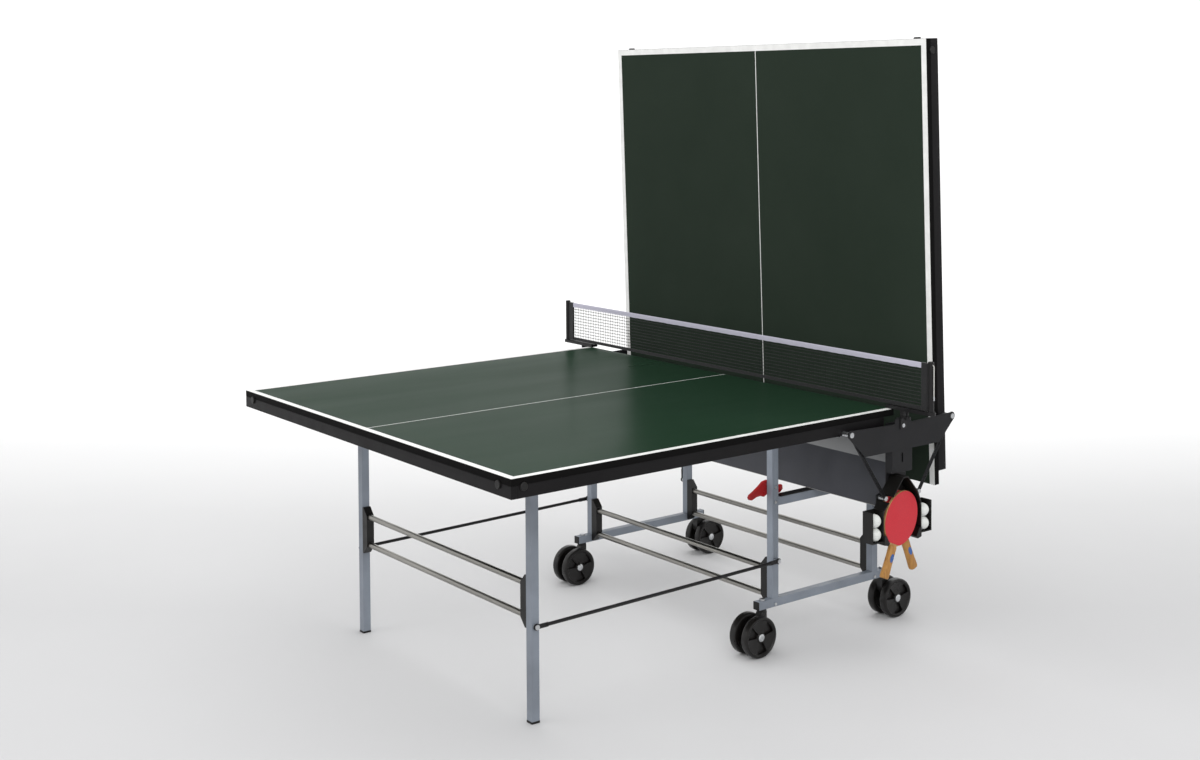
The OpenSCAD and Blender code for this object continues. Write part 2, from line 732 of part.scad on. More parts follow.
stem_r = 6;
swivel_top = base_z - 1;
module caster_fork() {
    leg_w = fork_w / 2;
    color(plastic_black) difference() {
        union() {
            translate([0, 0, swivel_top - 8]) cylinder(r = 14, h = 8);
            plate_xz(-leg_w, leg_w) polygon([
                [-9, swivel_top - 4], [9, swivel_top - 4], [trail + 12, wheel_r + 8],
                [trail + 12, wheel_r - 12], [trail - 12, wheel_r - 12], [-9, wheel_r + 30]
            ]);
            rod_y(14, -leg_w, leg_w, trail, wheel_r);
        }
        rod_y(axle_r + fit_gap, -leg_w - 1, leg_w + 1, trail, wheel_r);
    }
    color(zinc) {
        translate([0, 0, swivel_top - 2]) cylinder(r = stem_r, h = tube_w + 8);
        translate([0, 0, base_top + side_gap]) cylinder(r = 9, h = 5);
    }
}

axle_r = 4;
wheel_in = fork_w / 2 + 1;
module caster_wheels() {
    color(plastic_black) for (side = [0, 1]) mirror([0, side, 0]) difference() {
        rotate([-90, 0, 0]) rotate_extrude() polygon([
            [axle_r, wheel_in + 2], [14, wheel_in + 2], [16, wheel_in + 5], [46, wheel_in + 5],
            [50, wheel_in], [wheel_r - 4, wheel_in], [wheel_r, wheel_in + 4],
            [wheel_r, wheel_in + wheel_w - 4], [wheel_r - 4, wheel_in + wheel_w],
            [wheel_r - 8, wheel_in + wheel_w], [wheel_r - 9, wheel_in + wheel_w - 4],
            [14, wheel_in + wheel_w - 1], [12, wheel_in + wheel_w], [axle_r, wheel_in + wheel_w]
        ]);
    }
    color(zinc) {
        rod_y(axle_r, -wheel_in - wheel_w - 1, wheel_in + wheel_w + 1);
        for (side = [0, 1]) mirror([0, side, 0])
            rod_y(7, wheel_in + wheel_w, wheel_in + wheel_w + 2);
    }
}

// The stems' places, each with the way its wheels trail.
function stem_at(i) = [[-1, -1], [1, -1], [-1, 1], [1, 1]][i - 1];
module at_stem(i)
    place() translate([stem_at(i)[0] * stem_x, stem_at(i)[1] * upright_y, 0])
        mirror([stem_at(i)[0] < 0 ? 1 : 0, 0, 0]) children();

// ---------- Latch ----------

// A rocker with a grip on its outer end and a hook that catches the folded board's edge.
module latch() {
    color("#96191b") difference() {
        plate_xz(-latch_y, -latch_y + latch_t) translate([pivot_x, latch_z]) polygon([
            [-16, 8], [-8, 16], [9, 19], [26, 16], [44, 3], [64, -9], [80, -17], [84, -24],
            [81, -32], [71, -34], [52, -27], [36, -26], [23, -31], [4, -21], [-20, -28],
            [-44, -28], [-56, -18], [-54, -4], [-45, -4], [-42, -8], [-18, -6]
        ]);
        rod_y(bolt_r + fit_gap, -latch_y - 1, -latch_y + latch_t + 1, pivot_x, latch_z);
    }
}

// ---------- Drawing ----------

front_place() board();  // front_board
front_place() end_rail();  // front_end_rail
front_place() side_rails();  // front_side_rails
front_place() corner_plugs();  // front_corner_plugs
front_place() brackets();  // front_brackets
rear_place() board();  // rear_board
rear_place() end_rail();  // rear_end_rail
rear_place() side_rails();  // rear_side_rails
rear_place() corner_plugs();  // rear_corner_plugs
rear_place() brackets();  // rear_brackets

front_place() leg_tube();  // front_leg_left
front_place() mirror([0, 1, 0]) leg_tube();  // front_leg_right
front_place() leg_bars();  // front_leg_bars
front_place() leg_gussets();  // front_leg_gussets
front_place() foot_caps();  // front_foot_caps
folded_leg() leg_tube();  // rear_leg_left
folded_leg() mirror([0, 1, 0]) leg_tube();  // rear_leg_right
folded_leg() leg_bars();  // rear_leg_bars
folded_leg() leg_gussets();  // rear_leg_gussets
folded_leg() foot_caps();  // rear_foot_caps
front_place() links();  // front_links
place() links_up();  // rear_links

place() base_tubes();
place() frame_caps();
place() uprights(-pivot_x);  // front_uprights
place() uprights(pivot_x);  // rear_uprights
place() mid_bars();
place() frame_bars();
place() frame_gussets();
place() frame_bolts();

place() side_plate();  // side_plate_left
place() mirror([0, 1, 0]) side_plate();  // side_plate_right
place() post();  // post_left
place() mirror([0, 1, 0]) post();  // post_right
place() plate_struts();
place() plate_bolts();
place() cross_beam();
place() holder();

place() net_bracket();  // net_bracket_left
place() mirror([0, 1, 0]) net_bracket();  // net_bracket_right
place() net_body();  // net
place() net_tape();
place() net_cord();

at_stem(1) caster_fork();  // caster_fork_1
at_stem(2) caster_fork();  // caster_fork_2
at_stem(3) caster_fork();  // caster_fork_3
at_stem(4) caster_fork();  // caster_fork_4
at_stem(1) translate([trail, 0, wheel_r]) caster_wheels();  // caster_wheels_1
at_stem(2) translate([trail, 0, wheel_r]) caster_wheels();  // caster_wheels_2
at_stem(3) translate([trail, 0, wheel_r]) caster_wheels();  // caster_wheels_3
at_stem(4) translate([trail, 0, wheel_r]) caster_wheels();  // caster_wheels_4
place() mirror([1, 0, 0]) latch();  // front_latch
place() latch();  // rear_latch

place() bat_front();
place() bat_rear();
place() ball(-1, 0);  // ball_1
place() ball(-1, 1);  // ball_2
place() ball(1, 0);  // ball_3
place() ball(1, 1);  // ball_4
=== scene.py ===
"""Looks of a folding table tennis table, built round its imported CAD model.

Lengths are metres in the CAD's frame: +X along the table, +Y across it, +Z up.
Pieces of a half are made lying flat, with x measured from the net line, and
are then placed on the flat front half or on the rear half that is folded up.
"""

import math

import bmesh
import bpy
from mathutils import Matrix, Vector


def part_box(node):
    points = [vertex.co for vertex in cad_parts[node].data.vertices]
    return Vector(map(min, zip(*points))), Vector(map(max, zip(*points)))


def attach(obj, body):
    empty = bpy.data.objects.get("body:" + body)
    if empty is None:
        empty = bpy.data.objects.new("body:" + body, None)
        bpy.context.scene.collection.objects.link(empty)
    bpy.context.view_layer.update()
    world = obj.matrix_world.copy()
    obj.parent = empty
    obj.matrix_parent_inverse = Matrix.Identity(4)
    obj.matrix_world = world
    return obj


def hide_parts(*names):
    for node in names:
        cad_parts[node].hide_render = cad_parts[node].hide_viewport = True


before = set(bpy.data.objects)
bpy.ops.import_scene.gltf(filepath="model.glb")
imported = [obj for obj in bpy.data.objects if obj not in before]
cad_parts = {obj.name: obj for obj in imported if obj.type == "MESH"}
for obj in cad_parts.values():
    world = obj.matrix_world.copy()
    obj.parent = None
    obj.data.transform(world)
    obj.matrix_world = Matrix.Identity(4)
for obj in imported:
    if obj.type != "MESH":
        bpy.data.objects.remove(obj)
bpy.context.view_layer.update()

# ---------- Sizes that come from the CAD model ----------

NET_X = 0.50625          # the net line
PIVOT_X = 0.218          # the fold pivots' distance from the net line
PIVOT_Z = 0.715
FOLD_ANGLE = math.radians(91.87)
TABLE_H = 0.760
HALF_L = 1.370
TABLE_W = 1.525
EDGE_GAP = 0.005
LEG_Y = 0.470
TUBE_HALF = 0.0125
BEAM_FOLD_Z = 0.6005     # just below the fold between the cross beam's two slopes
BEAM_RIM_Z = 0.4758      # just above the cross beam's lower edge
FORK_TOP_Z = 0.1343      # where a caster's plastic fork ends and its steel stem begins
NET_H = 0.1525
SIDES = (-1, 1)
FOUR = (1, 2, 3, 4)      # the numbers of the casters and of the balls

# ---------- Camera ----------

CAMERA_PLACE = (-3.01295, -4.0061, 1.7056)
CAMERA_YAW = 0.8991
CAMERA_PITCH = -0.0386
CAMERA_ROLL = -0.0045
FOCAL_PX = 1596.2153     # focal length in pixels of a 1200 x 760 picture
CENTRE_PX = (646.8307, 154.1285)
PICTURE = (1200, 760)
SENSOR = 36.0


def make_camera():
    forward = Vector((math.cos(CAMERA_PITCH) * math.cos(CAMERA_YAW),
                      math.cos(CAMERA_PITCH) * math.sin(CAMERA_YAW),
                      math.sin(CAMERA_PITCH)))
    level = Vector((math.sin(CAMERA_YAW), -math.cos(CAMERA_YAW), 0))
    above = level.cross(forward)
    right = level * math.cos(CAMERA_ROLL) + above * math.sin(CAMERA_ROLL)
    up = above * math.cos(CAMERA_ROLL) - level * math.sin(CAMERA_ROLL)
    data = bpy.data.cameras.new("camera")
    data.sensor_width = SENSOR
    data.lens = FOCAL_PX * SENSOR / PICTURE[0]
    data.shift_x = (PICTURE[0] / 2 - CENTRE_PX[0]) / PICTURE[0]
    data.shift_y = (CENTRE_PX[1] - PICTURE[1] / 2) / PICTURE[0]
    data.clip_end = 100
    camera = bpy.data.objects.new("camera", data)
    turn = Matrix((right, up, -forward)).transposed().to_4x4()
    camera.matrix_world = Matrix.Translation(CAMERA_PLACE) @ turn
    bpy.context.scene.collection.objects.link(camera)
    bpy.context.scene.camera = camera


# ---------- Materials ----------

class Paint:
    """A material and short calls for the shader nodes that it is made of."""

    def __init__(self, name, colour, roughness=0.5, metallic=0.0, specular=0.5):
        self.material = bpy.data.materials.new(name)
        self.material.use_nodes = True
        self.tree = self.material.node_tree
        self.shader = self.tree.nodes["Principled BSDF"]
        self.set("Base Color", (*linear(colour), 1))
        self.set("Roughness", roughness)
        self.set("Metallic", metallic)
        self.set("Specular IOR Level", specular)
        place = self.node("TexCoord")
        self.at = place.outputs["Object"]
        self.normal = place.outputs["Normal"]
        self.colour = colour

    def set(self, socket, value):
        """Sets or links one of the shader's sockets."""
        self._give(self.shader.inputs[socket], value)

    def _give(self, socket, value):
        if isinstance(value, bpy.types.NodeSocket):
            self.tree.links.new(value, socket)
        else:
            socket.default_value = value

    def node(self, kind, inputs=(), **settings):
        made = self.tree.nodes.new("ShaderNode" + kind)
        for key, value in settings.items():
            setattr(made, key, value)
        for key, value in dict(inputs).items():
            self._give(made.inputs[key], value)
        return made

    def math(self, operation, a, b=0.0):
        made = self.node("Math", {0: a, 1: b}, operation=operation)
        return made.outputs[0]

    def axis(self, vector, name):
        return self.node("SeparateXYZ", {0: vector}).outputs[name]

    def stretch(self, scale):
        """The object's coordinates, scaled along each axis."""
        return self.node("Mapping", {"Vector": self.at, "Scale": scale}).outputs[0]

    def noise(self, scale, detail=2.0, vector=None):
        return self.node("TexNoise", {"Vector": vector or self.at, "Scale": scale,
                                      "Detail": detail}).outputs["Fac"]

    def remap(self, value, low, high, to_low=0.0, to_high=1.0):
        return self.node("MapRange", {"Value": value, "From Min": low, "From Max": high,
                                      "To Min": to_low, "To Max": to_high}).outputs[0]

    def mix(self, factor, first, second):
        """A colour between first and second; each is an sRGB triple of 0-255 or a socket."""
        pair = [c if isinstance(c, bpy.types.NodeSocket) else (*linear(c), 1)
                for c in (first, second)]
        return self.node("MixRGB", {"Fac": factor, "Color1": pair[0],
                                    "Color2": pair[1]}).outputs[0]

    def bump(self, height, strength, distance):
        made = self.node("Bump", {"Height": height, "Strength": strength,
                                  "Distance": distance})
        self.set("Normal", made.outputs[0])

    def mottle(self, scale, spread, vector=None):
        """Lets the base colour vary by a share up and down, in soft patches."""
        light = [min(255, c * (1 + spread)) for c in self.colour]
        dark = [c * (1 - spread) for c in self.colour]
        patch = self.remap(self.noise(scale, 4.0, vector), 0.3, 0.7)
        result = self.mix(patch, dark, light)
        self.set("Base Color", result)
        return result

    def uneven(self, scale, low, high, vector=None):
        """Lets the roughness vary between two values."""
        result = self.remap(self.noise(scale, 3.0, vector), 0.3, 0.7, low, high)
        self.set("Roughness", result)
        return result


def linear(colour):
    """Linear RGB from an sRGB triple of 0-255."""
    share = [c / 255 for c in colour]
    return [s / 12.92 if s <= 0.04045 else ((s + 0.055) / 1.055) ** 2.4 for s in share]


def powder_coat(name, colour, roughness=0.42, specular=0.45):
    paint = Paint(name, colour, roughness, specular=specular)
    paint.mottle(9, 0.07)
    paint.uneven(14, roughness - 0.06, roughness + 0.08)
    paint.bump(paint.noise(900, 3.0), 0.22, 0.0004)
    return paint.material


def moulded_plastic(name, colour, roughness=0.45, grain=1400):
    paint = Paint(name, colour, roughness, specular=0.35)
    paint.mottle(12, 0.12)
    paint.uneven(25, roughness - 0.08, roughness + 0.1)
    paint.bump(paint.noise(grain, 2.0), 0.25, 0.0003)
    return paint.material


def bright_metal(name, colour, low=0.22, high=0.42, stretch=(1, 1, 1)):
    paint = Paint(name, colour, low, metallic=1.0)
    vector = paint.stretch(stretch)
    paint.mottle(60, 0.08, vector)
    paint.uneven(90, low, high, vector)
    paint.bump(paint.noise(500, 3.0, vector), 0.12, 0.0003)
    return paint.material


def coated_with_zinc(name, colour, mask):
    """Powder coat, with bare zinc where mask(paint) gives 1: the bolts of a tube's own node."""
    paint = Paint(name, colour, 0.42, specular=0.45)
    where = mask(paint)
    coat = paint.mottle(9, 0.07)
    paint.set("Base Color", paint.mix(where, coat, (196, 198, 200)))
    paint.set("Metallic", where)
    rough = paint.remap(paint.noise(30, 3.0), 0.3, 0.7, 0.34, 0.48)
    paint.set("Roughness", rough)
    paint.bump(paint.noise(900, 3.0), 0.18, 0.0004)
    return paint.material


def beam_coat_with_painted_light():
    """Dark coat on the beam's steep sides with a lighter band along its lower edge; on its upper
    slopes a lighter grey that is painted light, for the light those slopes catch.
    """
    paint = Paint("beam_coat_with_painted_light", (58, 59, 64), 0.36, specular=0.45)
    upper = paint.math("GREATER_THAN", paint.axis(paint.at, "Z"), BEAM_FOLD_Z)
    rim = paint.math("LESS_THAN", paint.axis(paint.at, "Z"), BEAM_RIM_Z)
    lower = paint.mottle(6, 0.06)
    sides = paint.mix(rim, lower, (150, 150, 147))
    # Painted light: the upper slopes get a lighter grey that stands in for the light falling on
    # them, not a paint of their own.
    paint.set("Base Color", paint.mix(upper, sides, (128, 129, 130)))
    paint.uneven(14, 0.32, 0.44)
    paint.bump(paint.noise(900, 3.0), 0.2, 0.0004)
    return paint.material


def board_paint(name, normal, along, greens):
    """Green lacquer on the faces and a black band on the edges. normal is the board's own."""
    paint = Paint(name, greens[0], 0.4, specular=0.009)
    facing = paint.node("VectorMath", {0: paint.normal, 1: normal},
                        operation="DOT_PRODUCT").outputs["Value"]
    face = paint.math("GREATER_THAN", paint.math("ABSOLUTE", facing), 0.9)
    upper = paint.math("GREATER_THAN", facing, 0.9)
    speck = paint.remap(paint.noise(1700, 2.0), 0.35, 0.65)
    patch = paint.remap(paint.noise(2.2, 4.0), 0.3, 0.7)
    green = paint.mix(speck, greens[0], greens[1])
    worn = paint.mix(patch, green, greens[1])
    under = paint.mix(speck, (26, 33, 28), (32, 39, 34))
    lacquer = paint.mix(upper, under, worn)
    band = paint.mix(speck, (17, 17, 17), (24, 23, 23))
    paint.set("Base Color", paint.mix(face, band, lacquer))
    streaks = paint.noise(3.5, 4.0, paint.stretch(along))
    paint.set("Roughness", paint.remap(streaks, 0.3, 0.7, 0.27, 0.36))
    paint.bump(paint.noise(420, 3.0), 0.10, 0.0004)
    return paint.material


def line_paint(name, colour):
    paint = Paint(name, colour, 0.5)
    paint.mottle(30, 0.03)
    paint.uneven(60, 0.4, 0.55)
    paint.bump(paint.noise(600, 3.0), 0.12, 0.0002)
    return paint.material


def woven(name, colour, pitch, roughness=0.85, sheen=0.3, contrast=0.18):
    """Plain weave: threads that cross at the pitch along Y and Z."""
    paint = Paint(name, colour, roughness, specular=0.25)
    turns = math.pi / pitch
    across = paint.axis(paint.at, "Y")
    up = paint.axis(paint.at, "Z")
    over = paint.math("SINE", paint.math("MULTIPLY", across, turns))
    along = paint.math("SINE", paint.math("MULTIPLY", up, turns))
    weave = paint.remap(paint.math("MULTIPLY", over, along), -1, 1)
    dark = [c * (1 - contrast) for c in colour]
    paint.set("Base Color", paint.mix(weave, dark, colour))
    paint.set("Sheen Weight", sheen)
    paint.bump(weave, 0.5, pitch * 0.4)
    return paint.material


def braided(name, colour, pitch):
    """Strands that wind both ways round a cord, along its length on Z and Y."""
    paint = Paint(name, colour, 0.75, specular=0.3)
    place = paint.math("ADD", paint.axis(paint.at, "Z"), paint.axis(paint.at, "Y"))
    side = paint.math("MULTIPLY", paint.axis(paint.at, "X"), 1.3)
    one = paint.math("SINE", paint.math("MULTIPLY", paint.math("ADD", place, side),
                                        2 * math.pi / pitch))
    two = paint.math("SINE", paint.math("MULTIPLY", paint.math("SUBTRACT", place, side),
                                        2 * math.pi / pitch))
    braid = paint.remap(paint.math("MAXIMUM", one, two), -0.2, 1)
    dark = [c * 0.7 for c in colour]
    paint.set("Base Color", paint.mix(braid, dark, colour))
    paint.bump(braid, 0.6, 0.0006)
    return paint.material


def pimple_rubber(name, colour):
    """Smooth top sheet with the faint dots of the pimples behind it."""
    paint = Paint(name, colour, 0.5, specular=0.45)
    dots = paint.node("TexVoronoi", {"Vector": paint.at, "Scale": 520.0},
                      feature="F1").outputs["Distance"]
    raised = paint.remap(dots, 0.15, 0.55)
    dark = [c * 0.9 for c in colour]
    paint.set("Base Color", paint.mix(raised, colour, dark))
    paint.uneven(18, 0.42, 0.6)
    paint.bump(raised, 0.15, 0.0002)
    return paint.material


def bat_wood(name, light, dark, direction):
    """Fine grain along the bat's handle, with the plies of the blade across it."""
    paint = Paint(name, light, 0.5, specular=0.4)
    turned = paint.node("Mapping", {"Vector": paint.at, "Rotation": (0, direction, 0),
                                    "Scale": (260.0, 260.0, 9.0)}).outputs[0]
    grain = paint.remap(paint.noise(1.0, 5.0, turned), 0.35, 0.65)
    broad = paint.node("Mapping", {"Vector": paint.at, "Rotation": (0, direction, 0),
                                   "Scale": (60.0, 60.0, 4.0)}).outputs[0]
    figure = paint.remap(paint.noise(1.0, 3.0, broad), 0.35, 0.65)
    paint.set("Base Color", paint.mix(figure, paint.mix(grain, dark, light), light))
    paint.uneven(30, 0.4, 0.55)
    paint.bump(grain, 0.2, 0.0003)
    return paint.material


def ball_shell(name, height):
    """White celluloid-like shell with its weld line at the ball's middle height."""
    paint = Paint(name, (226, 228, 224), 0.35, specular=0.45)
    paint.set("Subsurface Weight", 0.15)
    paint.set("Subsurface Radius", (0.002, 0.002, 0.0018))
    away = paint.math("ABSOLUTE", paint.math("SUBTRACT", paint.axis(paint.at, "Z"), height))
    seam = paint.remap(away, 0.0, 0.0005, 1.0, 0.0)
    patch = paint.remap(paint.noise(40, 3.0), 0.3, 0.7)
    shell = paint.mix(patch, (216, 219, 215), (230, 232, 229))
    paint.set("Base Color", paint.mix(seam, shell, (196, 198, 194)))
    paint.bump(seam, 0.4, 0.0003)
    return paint.material


# ---------- Meshes ----------

def add_piece(name, mesh, material, body, smooth_angle=35, bevel=0.0, place=None):
    """Makes an object of a bmesh or mesh, gives it a material and lets it ride on a body."""
    if isinstance(mesh, bmesh.types.BMesh):
        data = bpy.data.meshes.new(name)
        bmesh.ops.remove_doubles(mesh, verts=mesh.verts, dist=1e-6)
        bmesh.ops.recalc_face_normals(mesh, faces=mesh.faces)
        if place is not None:
            mesh.transform(place)
        mesh.to_mesh(data)
        mesh.free()
    else:
        data = mesh
    for one in material if isinstance(material, (list, tuple)) else [material]:
        data.materials.append(one)
    made = bpy.data.objects.new(name, data)
    bpy.context.scene.collection.objects.link(made)
    if bevel:
        add_bevel(made, bevel)
    if smooth_angle:
        data.shade_smooth()
        data.set_sharp_from_angle(angle=math.radians(smooth_angle))
    if body:
        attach(made, body)
    return made


def add_bevel(made, width, segments=2, angle=40):
    round_off = made.modifiers.new("edges", "BEVEL")
    round_off.width = width
    round_off.segments = segments
    round_off.limit_method = "ANGLE"
    round_off.angle_limit = math.radians(angle)
    round_off.use_clamp_overlap = True


def add_box(mesh, low, high):
    """A box from corner to corner, added to the mesh."""
    size = [b - a for a, b in zip(low, high)]
    middle = [(a + b) / 2 for a, b in zip(low, high)]
    bmesh.ops.create_cube(mesh, size=1.0,
                          matrix=Matrix.Translation(middle) @ Matrix.Diagonal((*size, 1)))


def add_lathe(mesh, profile, segments, centre=(0, 0, 0), turn=None, face_material=0):
    """Turns a closed profile of (radius, height) about Z, then moves it."""
    turn = (turn or Matrix()).to_4x4()
    place = Matrix.Translation(centre) @ turn
    rings = []
    for step in range(segments):
        angle = 2 * math.pi * step / segments
        rings.append([mesh.verts.new(place @ Vector((r * math.cos(angle),
                                                     r * math.sin(angle), z)))
                      for r, z in profile])
    count = len(profile)
    for step in range(segments):
        here, after = rings[step], rings[(step + 1) % segments]
        for i in range(count):
            j = (i + 1) % count
            corners = [here[i], after[i], after[j], here[j]]
            made = mesh.faces.new(corners)
            made.material_index = face_material


def add_prism(mesh, outline, low, high, place=None, face_material=0):
    """Extrudes an outline of (x, z) from y low to y high."""
    place = place or Matrix()
    rings = [[mesh.verts.new(place @ Vector((x, y, z))) for x, z in outline]
             for y in (low, high)]
    caps = [rings[0], list(reversed(rings[1]))]
    for corners in caps:
        mesh.faces.new(corners).material_index = face_material
    count = len(outline)
    for i in range(count):
        j = (i + 1) % count
        side = mesh.faces.new([rings[0][i], rings[1][i], rings[1][j], rings[0][j]])
        side.material_index = face_material


def add_loft(mesh, rings, face_material=0):
    """Skins a list of rings of points, with both ends closed."""
    made = [[mesh.verts.new(p) for p in ring] for ring in rings]
    count = len(made[0])
    for below, above in zip(made, made[1:]):
        for i in range(count):
            j = (i + 1) % count
            mesh.faces.new([below[i], below[j], above[j], above[i]]).material_index = \
                face_material
    mesh.faces.new(list(reversed(made[0]))).material_index = face_material
    mesh.faces.new(made[-1]).material_index = face_material


def half_place(half):
    """Moves a piece made flat, with x from the net line, to its place on a half."""
    if half == "front":
        return Matrix.Translation((NET_X, 0, 0)) @ Matrix.Rotation(math.pi, 4, "Z")
    return (Matrix.Translation((NET_X + PIVOT_X, 0, PIVOT_Z))
            @ Matrix.Rotation(-FOLD_ANGLE, 4, "Y")
            @ Matrix.Translation((-PIVOT_X, 0, -PIVOT_Z)))


# ---------- Colours and finishes ----------

RAIL = powder_coat("rail_coat", (25, 24, 25), 0.38, specular=0.1)
FRAME = powder_coat("frame_coat", (124, 131, 141), 0.4)
PLATE = powder_coat("plate_coat", (30, 30, 32), 0.4, specular=0.2)
ARM = powder_coat("arm_coat", (22, 21, 22), 0.38, specular=0.3)
ZINC = bright_metal("zinc_plate", (200, 202, 204))
BAR = bright_metal("drawn_bar", (152, 150, 145), 0.25, 0.4, stretch=(1, 0.05, 1))
BLACK = moulded_plastic("black_plastic", (18, 17, 16), 0.4)
HOLDER = moulded_plastic("holder_plastic", (19, 18, 17), 0.36)
TYRE = moulded_plastic("tyre", (19, 17, 16), 0.33, grain=900)
RED = moulded_plastic("latch_plastic", (150, 24, 26), 0.32)
WHITE_LINE = line_paint("white_line", (238, 238, 236))
NET_CORD = woven("net_thread", (14, 14, 16), 0.0008, contrast=0.3)
NET_BAND = woven("net_band", (17, 17, 19), 0.0012)
TAPE = woven("net_tape_cloth", (198, 196, 212), 0.0012, contrast=0.12)
BRAID = braided("white_braid", (232, 231, 226), 0.0035)
FORK = coated_with_zinc(
    "fork_and_stem", (18, 17, 16),
    lambda p: p.math("GREATER_THAN", p.axis(p.at, "Z"), FORK_TOP_Z))


def beyond_leg(paint):
    """1 outside the leg tube's two faces, where only its bolts are."""
    across = paint.math("ABSOLUTE", paint.axis(paint.at, "Y"))
    away = paint.math("ABSOLUTE", paint.math("SUBTRACT", across, LEG_Y))
    return paint.math("GREATER_THAN", away, TUBE_HALF + 0.0001)


LEG = coated_with_zinc("leg_coat", (124, 131, 141), beyond_leg)
UP_NORMAL = (-math.sin(FOLD_ANGLE), 0.0, math.cos(FOLD_ANGLE))
# Both halves carry one lacquer. The rear half's greyer, slightly lighter greens are painted
# light, set for how the upright half shows under the lamps, not a colour of its own.
BOARD = {
    "front": board_paint("front_lacquer", (0.0, 0.0, 1.0), (0.2, 1.0, 1.0),
                         ((26, 47, 33), (34, 56, 41))),
    "rear": board_paint("rear_lacquer", UP_NORMAL, (1.0, 1.0, 0.2),
                        ((37, 47, 39), (47, 56, 48))),
}

# ---------- CAD nodes that stay ----------

NODE_PAINT = {
    "front_board": BOARD["front"], "rear_board": BOARD["rear"],
    "base_tubes": FRAME, "frame_caps": BLACK, "front_uprights": FRAME,
    "rear_uprights": FRAME, "mid_bars": FRAME, "frame_bars": BAR,
    "frame_gussets": BLACK, "frame_bolts": ZINC, "front_links": ARM, "rear_links": ARM,
    "side_plate_left": PLATE, "side_plate_right": PLATE, "post_left": PLATE,
    "post_right": PLATE, "plate_struts": PLATE, "plate_bolts": ZINC,
    "holder": HOLDER, "net_bracket_left": ARM, "net_bracket_right": ARM,
    "front_latch": RED, "rear_latch": RED,
}
for half in ("front", "rear"):
    NODE_PAINT.update({
        half + "_end_rail": RAIL, half + "_side_rails": RAIL,
        half + "_corner_plugs": BLACK, half + "_brackets": ZINC,
        half + "_leg_left": LEG, half + "_leg_right": LEG, half + "_leg_bars": BAR,
        half + "_leg_gussets": BLACK, half + "_foot_caps": BLACK,
    })
NODE_PAINT["cross_beam"] = beam_coat_with_painted_light()
for i in FOUR:
    NODE_PAINT[f"caster_fork_{i}"] = FORK
    low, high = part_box(f"ball_{i}")
    NODE_PAINT[f"ball_{i}"] = ball_shell(f"ball_shell_{i}", (low[2] + high[2]) / 2)

NODE_BEVEL = {
    "holder": 0.0011, "cross_beam": 0.0007, "front_latch": 0.0018, "rear_latch": 0.0018,
    "side_plate_left": 0.0008, "side_plate_right": 0.0008, "frame_gussets": 0.0015,
    "front_leg_gussets": 0.0015, "rear_leg_gussets": 0.0015, "frame_caps": 0.0012,
    "front_foot_caps": 0.0015, "rear_foot_caps": 0.0015,
    "front_board": 0.0006, "rear_board": 0.0006,
    "front_end_rail": 0.0018, "rear_end_rail": 0.0018,
    "front_side_rails": 0.0018, "rear_side_rails": 0.0018,
}
PLAIN_BEVEL = 0.0009
NO_BEVEL = {f"ball_{i}" for i in FOUR}


def finish_node(name, material):
    """Gives a CAD node its material and, without touching its mesh, rounded edges."""
    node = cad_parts[name]
    if node.data.materials:
        for i in range(len(node.data.materials)):
            node.data.materials[i] = material
    else:
        node.data.materials.append(material)
    if name in NO_BEVEL:
        return
    weld = node.modifiers.new("weld", "WELD")
    weld.merge_threshold = 1e-5
    add_bevel(node, NODE_BEVEL.get(name, PLAIN_BEVEL))
    even = node.modifiers.new("normals", "WEIGHTED_NORMAL")
    even.keep_sharp = False


for name, material in NODE_PAINT.items():
    finish_node(name, material)

# ---------- Lines on the boards ----------

LINE_W = 0.020
CENTRE_W = 0.003
LINE_T = 0.00018


def board_lines(half):
    """The white border along three edges and the thin centre line, just above the lacquer."""
    mesh = bmesh.new()
    low, high = TABLE_H, TABLE_H + LINE_T
    edge = TABLE_W / 2 - 0.0006
    end = HALF_L - 0.0006
    start = EDGE_GAP + 0.0006
    for side in SIDES:
        inner, outer = sorted((side * (edge - LINE_W), side * edge))
        add_box(mesh, (start, inner, low), (end, outer, high))
    add_box(mesh, (end - LINE_W, -edge + LINE_W, low), (end, edge - LINE_W, high))
    add_box(mesh, (start, -CENTRE_W / 2, low), (end - LINE_W, CENTRE_W / 2, high))
    add_piece(half + "_lines", mesh, WHITE_LINE, half + "_half",
              place=half_place(half))


for half in ("front", "rear"):
    board_lines(half)

# ---------- Net ----------

NET_LOW, NET_HIGH = (Vector(c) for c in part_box("net"))
TAPE_LOW, TAPE_HIGH = (Vector(c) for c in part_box("net_tape"))
CELL = 0.0105
THREAD_R = 0.0007
BAND_H = 0.011
BAND_HALF = 0.0009       # half the band's thickness
SLEEVE_W = 0.026
SLEEVE_HALF = 0.0031     # half the sleeves' thickness
UNDERCARRIAGE = "undercarriage"


def add_thread(mesh, start, end, radius):
    """A four-sided thread between two points of the net's plane."""
    along = (end - start).normalized()
    beside = Vector((1, 0, 0))
    other = along.cross(beside)
    rings = [[p + beside * radius, p + other * radius, p - beside * radius, p - other * radius]
             for p in (start, end)]
    add_loft(mesh, rings)


